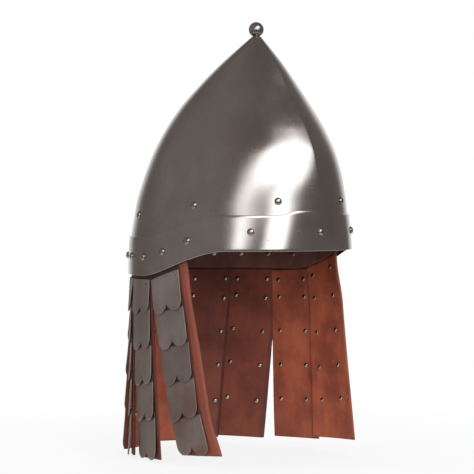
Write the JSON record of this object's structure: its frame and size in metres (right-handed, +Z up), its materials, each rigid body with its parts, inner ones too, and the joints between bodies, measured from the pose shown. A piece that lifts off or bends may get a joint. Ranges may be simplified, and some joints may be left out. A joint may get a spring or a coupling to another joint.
{
  "type": "byzantine helmet",
  "caption": "Pointed ridged steel helmet with ball finial, riveted brow band, laced leather liner and a neck guard of hinged leather straps clad in overlapping lobed steel scales.",
  "frame": {"origin": "middle of the head opening, level with the middle of the front rim, where the helmet sits on the head", "axes": "+Z up towards the point, -Y out through the face opening, +X towards the wearer's left"},
  "size_m": [0.2191, 0.2561, 0.4412],
  "materials": {
    "skull_steel": "polished with brown tints",
    "band_steel": "polished with brown tints",
    "scale_steel": "dull, darkened",
    "strap_leather": "matt, reddish brown",
    "liner_leather": "matt brown",
    "lace_cord": "matt dark brown"
  },
  "bodies": {
    "helmet": {"skull": "skull_steel", "brow_band": "band_steel", "finial": "skull_steel", "yoke": "strap_leather", "liner": "liner_leather", "lace": "lace_cord"},
    "flap_right_4": {"strap_right_4": "strap_leather", "scale_right_4_row_1": "scale_steel", "scale_right_4_row_2": "scale_steel", "scale_right_4_row_3": "scale_steel", "scale_right_4_row_4": "scale_steel", "scale_right_4_row_5": "scale_steel"},
    "flap_right_3": {"strap_right_3": "strap_leather", "scale_right_3_row_1": "scale_steel", "scale_right_3_row_2": "scale_steel", "scale_right_3_row_3": "scale_steel", "scale_right_3_row_4": "scale_steel", "scale_right_3_row_5": "scale_steel"},
    "flap_right_2": {"strap_right_2": "strap_leather", "scale_right_2_row_1": "scale_steel", "scale_right_2_row_2": "scale_steel", "scale_right_2_row_3": "scale_steel", "scale_right_2_row_4": "scale_steel", "scale_right_2_row_5": "scale_steel"},
    "flap_right_1": {"strap_right_1": "strap_leather", "scale_right_1_row_1": "scale_steel", "scale_right_1_row_2": "scale_steel", "scale_right_1_row_3": "scale_steel", "scale_right_1_row_4": "scale_steel", "scale_right_1_row_5": "scale_steel"},
    "flap_back": {"strap_back": "strap_leather", "scale_back_row_1": "scale_steel", "scale_back_row_2": "scale_steel", "scale_back_row_3": "scale_steel", "scale_back_row_4": "scale_steel", "scale_back_row_5": "scale_steel"},
    "flap_left_1": {"strap_left_1": "strap_leather", "scale_left_1_row_1": "scale_steel", "scale_left_1_row_2": "scale_steel", "scale_left_1_row_3": "scale_steel", "scale_left_1_row_4": "scale_steel", "scale_left_1_row_5": "scale_steel"},
    "flap_left_2": {"strap_left_2": "strap_leather", "scale_left_2_row_1": "scale_steel", "scale_left_2_row_2": "scale_steel", "scale_left_2_row_3": "scale_steel", "scale_left_2_row_4": "scale_steel", "scale_left_2_row_5": "scale_steel"},
    "flap_left_3": {"strap_left_3": "strap_leather", "scale_left_3_row_1": "scale_steel", "scale_left_3_row_2": "scale_steel", "scale_left_3_row_3": "scale_steel", "scale_left_3_row_4": "scale_steel", "scale_left_3_row_5": "scale_steel"},
    "flap_left_4": {"strap_left_4": "strap_leather", "scale_left_4_row_1": "scale_steel", "scale_left_4_row_2": "scale_steel", "scale_left_4_row_3": "scale_steel", "scale_left_4_row_4": "scale_steel", "scale_left_4_row_5": "scale_steel"}
  },
  "joints": [
    {"name": "flap_right_4_swing", "type": "hinge", "parent": "helmet", "child": "flap_right_4", "pos_m": [-0.10265, -0.00589, -0.02143], "axis": [-0.0386, 0.9597, -0.2784], "range_deg": [-3, 60]},
    {"name": "flap_right_3_swing", "type": "hinge", "parent": "helmet", "child": "flap_right_3", "pos_m": [-0.09716, 0.04107, -0.0277], "axis": [0.2844, 0.9586, -0.0164], "range_deg": [-3, 60]},
    {"name": "flap_right_2_swing", "type": "hinge", "parent": "helmet", "child": "flap_right_2", "pos_m": [-0.0764, 0.08281, -0.0277], "axis": [0.6056, 0.7957, 0], "range_deg": [-3, 60]},
    {"name": "flap_right_1_swing", "type": "hinge", "parent": "helmet", "child": "flap_right_1", "pos_m": [-0.04041, 0.11353, -0.0277], "axis": [0.8921, 0.4519, 0], "range_deg": [-3, 60]},
    {"name": "flap_back_swing", "type": "hinge", "parent": "helmet", "child": "flap_back", "pos_m": [0.00587, 0.12321, -0.0277], "axis": [0.9977, -0.0676, 0], "range_deg": [-3, 60]},
    {"name": "flap_left_1_swing", "type": "hinge", "parent": "helmet", "child": "flap_left_1", "pos_m": [0.05012, 0.10784, -0.0277], "axis": [0.834, -0.5517, 0], "range_deg": [-3, 60]},
    {"name": "flap_left_2_swing", "type": "hinge", "parent": "helmet", "child": "flap_left_2", "pos_m": [0.08267, 0.07367, -0.0277], "axis": [0.5304, -0.8477, 0], "range_deg": [-3, 60]},
    {"name": "flap_left_3_swing", "type": "hinge", "parent": "helmet", "child": "flap_left_3", "pos_m": [0.1, 0.02976, -0.0277], "axis": [0.2041, -0.9771, 0.0609], "range_deg": [-3, 60]},
    {"name": "flap_left_4_swing", "type": "hinge", "parent": "helmet", "child": "flap_left_4", "pos_m": [0.1017, -0.01706, -0.01779], "axis": [-0.1111, -0.9435, 0.3123], "range_deg": [-3, 60]}
  ]
}
